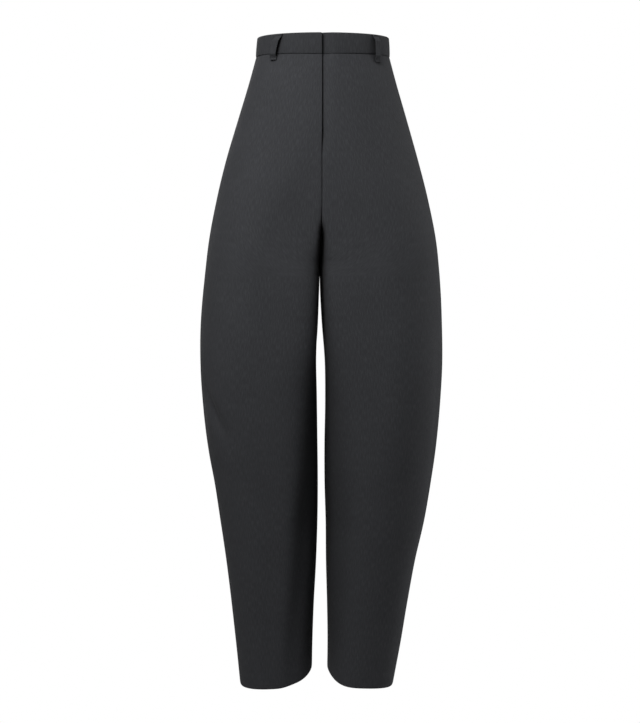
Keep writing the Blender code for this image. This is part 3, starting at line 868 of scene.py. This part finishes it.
def loop_strip(loop):
    """A belt loop: a strip of cloth with rounded edges and ends, pinched where it is tacked."""
    share = (1 - np.cos(np.linspace(0, math.pi, LOOP_RINGS))) / 2
    heights = LOOP_TOP + (loop.foot - LOOP_TOP) * share
    turn = np.linspace(0, 2 * math.pi, LOOP_RING_POINTS, endpoint=False)
    wide = np.sign(np.cos(turn)) * np.abs(np.cos(turn)) ** (2 / LOOP_SQUARE) * LOOP_WIDTH / 2
    deep = np.sign(np.sin(turn)) * np.abs(np.sin(turn)) ** (2 / LOOP_SQUARE) * LOOP_WALL / 2
    rings = []
    for height in heights:
        middle, across, outward = loop_middle(loop, height)
        from_end = min(LOOP_TOP - height, height - loop.foot)
        round_off = math.sqrt(max(1 - (1 - min(from_end / LOOP_END_ROUND, 1)) ** 2, LOOP_END_LEAST))
        pinch = 1 - LOOP_PINCH * math.exp(-(((from_end - TACK_FROM_END) / LOOP_PINCH_WIDTH) ** 2))
        centre = middle + outward * LOOP_WALL / 2
        crown = LOOP_CROWN * (1 - (2 * wide / LOOP_WIDTH) ** 2) * round_off * pinch
        narrow = 1 - LOOP_END_NARROWS * (1 - round_off)
        rings.append([
            centre + across * w * narrow + outward * (d * round_off * pinch + c)
            for w, d, c in zip(wide, deep, crown)
        ])
    rings = as_worn(rings)
    count = LOOP_RING_POINTS
    index = np.arange(len(rings) * count).reshape(-1, count)
    beside = np.roll(index, -1, axis=1)
    quads = np.stack([index[:-1], beside[:-1], beside[1:], index[1:]], axis=2).reshape(-1, 4).tolist()
    quads += [index[0][::-1].tolist(), index[-1].tolist()]
    around = turn / (2 * math.pi) * 2 * (LOOP_WIDTH + LOOP_WALL)
    flat = np.stack(np.broadcast_arrays(around[None, :], heights[:, None]), axis=2)
    strip = mesh_object(loop.name + "_cloth", rings, quads, flat)
    mark_cut_edge(strip, [UNCUT] * len(strip.data.vertices))
    in_edit_mode(bpy.ops.mesh.normals_make_consistent, inside=False)
    bpy.ops.object.shade_smooth()
    return strip, float(lengths_along(rings.mean(axis=1))[-1])


def copied_along(pattern, matrices, name):
    """Copies of a pattern piece at each of these places, joined as one piece."""
    copies = []
    for matrix in matrices:
        copy = pattern.copy()
        copy.data = pattern.data.copy()
        bpy.context.scene.collection.objects.link(copy)
        copy.matrix_world = matrix
        copies.append(copy)
    bpy.data.objects.remove(pattern)
    only(*copies)
    bpy.ops.object.join()
    joined = bpy.context.object
    joined.name = joined.data.name = name
    bpy.ops.object.transform_apply(location=True, rotation=True, scale=True)
    bpy.ops.object.shade_smooth()
    return joined


def placed(centre, across, outward):
    """A matrix whose X runs across, whose Y runs inwards and whose Z runs up, at a point."""
    x, y = Vector(across), -Vector(outward)
    turned = Matrix((x, y, x.cross(y))).transposed().to_4x4()
    return Matrix.Translation(Vector(centre)) @ turned


def tack_places():
    """Where each thread of the tacks lies, at the top and the foot of every loop."""
    places = []
    for loop in LOOPS:
        for height in (LOOP_TOP - TACK_FROM_END, loop.foot + TACK_FROM_END):
            middle, across, outward = loop_middle(loop, height)
            for beside in np.linspace(-TACK_REACH, TACK_REACH, TACK_THREADS):
                crown = LOOP_CROWN * (1 - (2 * beside) ** 2) * (1 - LOOP_PINCH)
                out = LOOP_WALL * (1 - LOOP_PINCH / 2) + crown
                centre = as_worn(middle + across * beside * LOOP_WIDTH + outward * out)
                places.append(placed(centre, across, outward))
    return places


def zip_front(x, z):
    """The y of the zip tape's front at a place: behind the fly, and rounded as the front is."""
    front = column("front", z)
    rounded = (1 - abs(x / column("out_left", z)) ** OUTER_SQUARE) ** (1 / OUTER_SQUARE)
    return front + ZIP_DEPTH - front * (1 - rounded)


def node(tree, kind, settings=None, inputs=None):
    """A shader node with its settings, and inputs that are values or other nodes' outputs."""
    made = tree.nodes.new("ShaderNode" + kind)
    for name, value in (settings or {}).items():
        setattr(made, name, value)
    for name, value in (inputs or {}).items():
        if isinstance(value, bpy.types.NodeSocket):
            tree.links.new(value, made.inputs[name])
        else:
            made.inputs[name].default_value = value
    return made


def multiplied(tree, first, *others):
    """The product of several outputs."""
    product = first
    for other in others:
        step = node(tree, "Math", {"operation": "MULTIPLY"})
        tree.links.new(product, step.inputs[0])
        tree.links.new(other, step.inputs[1])
        product = step.outputs["Value"]
    return product


def ranged(tree, value, low, high, start=0.0, end=1.0):
    """An output that runs from low to high while value runs from start to end."""
    inputs = {"Value": value, "From Min": start, "From Max": end, "To Min": low, "To Max": high}
    return node(tree, "MapRange", None, inputs).outputs["Result"]


def mixed(tree, share, first, second, blend="MIX"):
    """One colour laid over another by a share, or multiplied with it."""
    inputs = {"Fac": share, "Color1": first, "Color2": second}
    return node(tree, "MixRGB", {"blend_type": blend}, inputs).outputs["Color"]


def speckle(tree, where, scale, detail=2.0):
    """Noise at a scale."""
    inputs = {"Vector": where, "Scale": scale, "Detail": detail}
    return node(tree, "TexNoise", None, inputs).outputs["Fac"]


def ribs_along(tree, where, scale, direction, distortion):
    """Parallel ribs, slightly uneven."""
    wave = {"wave_type": "BANDS", "bands_direction": direction}
    inputs = {"Vector": where, "Scale": scale, "Distortion": distortion}
    return node(tree, "TexWave", wave, inputs).outputs["Fac"]


def raised(tree, ribs, grain, share):
    """The height of ribs with a share of a finer grain on them."""
    height = node(tree, "Math", {"operation": "MULTIPLY_ADD"})
    tree.links.new(grain, height.inputs[0])
    height.inputs[1].default_value = share
    tree.links.new(ribs, height.inputs[2])
    return height.outputs["Value"]


def empty_material(name):
    """A material with no nodes yet, and its node tree."""
    made = bpy.data.materials.new(name)
    made.use_nodes = True
    made.node_tree.nodes.clear()
    return made, made.node_tree


def finished(tree, colour, height, strength, distance, **surface):
    """The surface at the end of a material: colour and bump from its nodes, the rest as plain numbers."""
    bump = node(tree, "Bump", None, {"Strength": strength, "Distance": distance, "Height": height})
    shader = node(tree, "BsdfPrincipled", None, {"Base Color": colour, "Normal": bump.outputs["Normal"]})
    for name, value in surface.items():
        shader.inputs[name.replace("_", " ")].default_value = value
    node(tree, "OutputMaterial", None, {"Surface": shader.outputs["BSDF"]})


def wool_finish(name, cloth, painted_shade):
    """Fine wool suiting: a diagonal twill with paler fibres that run down it, and overlocked raw edges. Its
    colour also carries painted shade: darker in hollows and between parts, and darker all over where the
    last argument is below 1.
    """
    made, tree = empty_material(name)
    where = node(tree, "UVMap", {"uv_map": "Flat"}).outputs["UV"]
    ribs = ribs_along(tree, where, DIAGONAL_WAVE / cloth.twill, "DIAGONAL", distortion=0.6)
    stretch = (1 / FIBRE_WIDTH, 1 / FIBRE_LENGTH, 1.0)
    long_way = node(tree, "Mapping", None, {"Vector": where, "Scale": stretch}).outputs[0]
    pale = ranged(tree, speckle(tree, long_way, 1.0), *PALE_SHARES, *PALE_STREAKS)
    colour = mixed(tree, pale, (*cloth.wool, 1), (*cloth.wool_light, 1))
    # The clouds of tone vary at random. On the band and the loops they are also scaled down, which is
    # painted shade.
    clouds_and_painted_shade = ranged(tree, speckle(tree, where, CLOUD_SCALE), *(tone * painted_shade for tone in CLOUD_TONES))
    rib_tone = ranged(tree, ribs, *TWILL_TONES)
    # Painted shade: ambient occlusion darkens the colour in creases, seams, under the fly's lap and the
    # loops, and between the thighs.
    painted_hollow_shade = node(tree, "AmbientOcclusion", {"samples": 6}, {"Distance": cloth.painted_shade_reach})
    shaded = ranged(tree, painted_hollow_shade.outputs["AO"], cloth.painted_shade_tone, 1.0)
    toned = mixed(tree, 1.0, colour, multiplied(tree, clouds_and_painted_shade, rib_tone, shaded), "MULTIPLY")
    raw = node(tree, "Attribute", {"attribute_name": "cut_edge"}).outputs["Fac"]
    overlocked = ranged(tree, raw, 1.0, 0.0, *OVERLOCK_ENDS)
    edged = mixed(tree, overlocked, toned, (*cloth.thread, 1))
    nap = speckle(tree, where, NAP_SCALE, detail=1.0)
    finished(
        tree, edged, raised(tree, ribs, nap, share=0.6), strength=0.35, distance=0.00025,
        Roughness=0.92, Specular_IOR_Level=0.22, Sheen_Weight=cloth.sheen, Sheen_Roughness=0.45,
    )
    return made


def ribbed_finish(name, colour, look):
    """Ribs across a thread, tape or coil."""
    made, tree = empty_material(name)
    where = node(tree, "TexCoord").outputs["Object"]
    ribs = ribs_along(tree, where, STRAIGHT_WAVE / look.spacing, look.direction, distortion=0.4)
    toned = mixed(tree, 1.0, (*colour, 1), ranged(tree, ribs, *RIBBED_TONES), "MULTIPLY")
    grain = speckle(tree, where, GRAIN_SCALE)
    finished(
        tree, toned, raised(tree, ribs, grain, share=0.3), strength=0.4, distance=0.0002,
        Roughness=look.roughness, Specular_IOR_Level=look.specular,
    )
    return made


def material_named(name, make, *details):
    """A material by its name, made the first time that a piece needs it."""
    return bpy.data.materials.get(name) or make(name, *details)


def dressed(piece, finish, slot, *nodes):
    """Gives a piece its finish and its place in the model."""
    piece.data.materials.clear()
    piece.data.materials.append(finish)
    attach(piece, "root")
    if nodes:
        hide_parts(*nodes)
    return piece


class MakeLegPanels(bpy.types.Operator):
    """Makes the fronts and backs, with their seam allowances and turned-up hems"""

    bl_idname = "trousers.leg_panels"
    bl_label = "Leg panels"

    def execute(self, context):
        wool = material_named("charcoal_wool_cloth", wool_finish, context.scene.trouser_cloth, 1.0)
        for side in (RIGHT, LEFT):
            for face in FACES:
                node_name = f"{face}_{side_name(side)}"
                points, flat, cut = laid_out(side, face)
                flip = (side == RIGHT) != (face == "back")
                panel = sheet_from(node_name + "_cloth", points, flat, cut, flip)
                dressed(panel, wool, "charcoal_wool", node_name)
        return {"FINISHED"}


class MakeWaistband(bpy.types.Operator):
    """Makes the two halves of the folded waistband, the right one lapping over the left"""

    bl_idname = "trousers.waistband"
    bl_label = "Waistband"

    def execute(self, context):
        cloth = context.scene.trouser_cloth
        # The band's wool is a darker copy of the wool: painted shade.
        wool = material_named("charcoal_wool_band_cloth", wool_finish, cloth, BAND_PAINTED_SHADE)
        for side in (RIGHT, LEFT):
            node_name = f"waistband_{side_name(side)}"
            points, flat, cut = band_points(side)
            band = sheet_from(node_name + "_cloth", points, flat, cut, side == LEFT)
            dressed(band, wool, "charcoal_wool_band", node_name)
        return {"FINISHED"}


class MakeBeltLoops(bpy.types.Operator):
    """Makes the five belt loops and the tacks that hold them"""

    bl_idname = "trousers.belt_loops"
    bl_label = "Belt loops"

    def execute(self, context):
        cloth = context.scene.trouser_cloth
        # The loops share the band's darker copy of the wool: painted shade.
        wool = material_named("charcoal_wool_band_cloth", wool_finish, cloth, BAND_PAINTED_SHADE)
        for loop in LOOPS:
            strip, length = loop_strip(loop)
            dressed(strip, wool, "charcoal_wool_band", loop.name)
        bpy.ops.object.select_all(action="DESELECT")
        bpy.ops.mesh.primitive_cylinder_add(vertices=8, radius=THREAD / 2, depth=TACK_LENGTH)
        thread = bpy.context.object
        in_edit_mode(bpy.ops.mesh.bevel, offset=THREAD / 5, segments=1)
        tacks = copied_along(thread, tack_places(), "belt_loop_tacks")
        finish = material_named("sewing_thread", ribbed_finish, cloth.thread, THREAD_RIBS)
        dressed(tacks, finish, "charcoal_wool_band")
        return {"FINISHED"}


class MakeFlyZip(bpy.types.Operator):
    """Makes the closed zip behind the fly: its woven tape and its coil of teeth"""

    bl_idname = "trousers.fly_zip"
    bl_label = "Fly zip"

    def execute(self, context):
        cloth = context.scene.trouser_cloth
        heights = np.linspace(ZIP_TOP, FLY_END, TAPE_ROWS)
        places = np.linspace(ZIP_RIGHT, ZIP_LEFT, TAPE_COLUMNS)
        points = np.array([[(x, zip_front(x, z), z) for x in places] for z in heights])
        uncut = np.full(points.shape[:2], UNCUT)
        tape = sheet_from("fly_zip_tape", points, points[..., (0, 2)], uncut, False, ZIP_TAPE)
        finish = material_named("zip_tape_weave", ribbed_finish, cloth.zip_tape, TAPE_RIBS)
        dressed(tape, finish, "zip_tape_black", "fly_zip")
        bpy.ops.object.select_all(action="DESELECT")
        bpy.ops.mesh.primitive_cube_add(size=1)
        tooth = bpy.context.object
        tooth.scale = COIL_TOOTH
        bpy.ops.object.transform_apply(location=False, rotation=False, scale=True)
        in_edit_mode(bpy.ops.mesh.bevel, offset=COIL_TOOTH[2] * COIL_BEVEL, segments=2)
        matrices = []
        for number, z in enumerate(np.arange(COIL_TOP, COIL_FOOT, -COIL_PITCH)):
            x = COIL_X + (COIL_STAGGER if number % 2 else -COIL_STAGGER)
            y = zip_front(x, z) + ZIP_TAPE + COIL_TOOTH[1] * COIL_STANDS
            matrices.append(Matrix.Translation((x, y, z)))
        coil = copied_along(tooth, matrices, "fly_zip_coil")
        finish = material_named("zip_coil_nylon", ribbed_finish, cloth.zip_tape, COIL_RIBS)
        dressed(coil, finish, "zip_tape_black")
        return {"FINISHED"}


def light_on(light, power):
    """A square light that points at its aim and isn't seen itself."""
    bpy.ops.object.light_add(type="AREA", location=light.spot)
    lamp = bpy.context.object
    lamp.name = light.name + "_light"
    lamp.data.energy = power
    lamp.data.size = light.size
    lamp.rotation_euler = (Vector(light.aim) - Vector(light.spot)).to_track_quat("-Z", "Y").to_euler()
    lamp.visible_camera = False


def pale_floor():
    """A floor that the camera sees as white, and that throws back less light than white would."""
    made, tree = empty_material("pale_floor")
    seen = node(tree, "LightPath").outputs["Is Camera Ray"]
    matt = node(tree, "BsdfDiffuse", None, {"Color": (FLOOR_GREY, FLOOR_GREY, FLOOR_GREY, 1)})
    white = node(tree, "Emission", None, {"Color": WHITE, "Strength": 1.0})
    both = node(tree, "MixShader", None, {"Fac": seen})
    tree.links.new(matt.outputs[0], both.inputs[1])
    tree.links.new(white.outputs[0], both.inputs[2])
    node(tree, "OutputMaterial", None, {"Surface": both.outputs[0]})
    return made


def white_surroundings(ambient):
    """A world that the camera sees as white, and that gives little light."""
    world = bpy.data.worlds.new("studio_white")
    world.use_nodes = True
    tree = world.node_tree
    tree.nodes.clear()
    seen = node(tree, "LightPath").outputs["Is Camera Ray"]
    strength = ranged(tree, seen, ambient, 1.0)
    sky = node(tree, "Background", None, {"Color": WHITE, "Strength": strength})
    node(tree, "OutputWorld", None, {"Surface": sky.outputs[0]})
    return world


class MakeStudio(bpy.types.Operator):
    """Makes the floor, the white surroundings, the lights and the camera"""

    bl_idname = "trousers.studio"
    bl_label = "Studio"

    def execute(self, context):
        studio = context.scene.trouser_studio
        bpy.ops.object.select_all(action="DESELECT")
        bpy.ops.mesh.primitive_plane_add(size=studio.floor_size, location=(0, 0, FLOOR_HEIGHT))
        floor = bpy.context.object
        floor.name = "studio_floor"
        floor.data.materials.append(pale_floor())
        context.scene.world = white_surroundings(studio.ambient)
        for light in LIGHTS:
            light_on(light, getattr(studio, light.name + "_power"))
        spot = (studio.camera_across, -studio.distance, studio.camera_height)
        bpy.ops.object.camera_add(location=spot, rotation=(math.pi / 2 - studio.pitch, 0, 0))
        camera = bpy.context.object
        camera.data.lens = studio.lens
        camera.data.sensor_width = SENSOR_WIDTH
        context.scene.camera = camera
        context.scene.view_settings.view_transform = "Standard"
        return {"FINISHED"}


class TrouserPanel(bpy.types.Panel):
    """Lists the pieces of the trousers and their settings"""

    bl_idname = "VIEW3D_PT_barrel_leg_trousers"
    bl_label = "Barrel leg trousers"
    bl_space_type = "VIEW_3D"
    bl_region_type = "UI"
    bl_category = "Trousers"

    def draw(self, context):
        for settings in (context.scene.trouser_cloth, context.scene.trouser_studio):
            box = self.layout.box()
            for name in settings.__annotations__:
                box.prop(settings, name)
        for maker in MAKERS:
            self.layout.operator(maker.bl_idname)


MAKERS = (MakeLegPanels, MakeWaistband, MakeBeltLoops, MakeFlyZip, MakeStudio)
CLASSES = (TrouserCloth, TrouserStudio, *MAKERS, TrouserPanel)


def register():
    for one in CLASSES:
        bpy.utils.register_class(one)
    bpy.types.Scene.trouser_cloth = PointerProperty(type=TrouserCloth)
    bpy.types.Scene.trouser_studio = PointerProperty(type=TrouserStudio)


def unregister():
    del bpy.types.Scene.trouser_studio
    del bpy.types.Scene.trouser_cloth
    for one in reversed(CLASSES):
        bpy.utils.unregister_class(one)


def main():
    register()
    bpy.ops.trousers.leg_panels()
    bpy.ops.trousers.waistband()
    bpy.ops.trousers.belt_loops()
    bpy.ops.trousers.fly_zip()
    bpy.ops.trousers.studio()


if __name__ == "__main__":
    main()
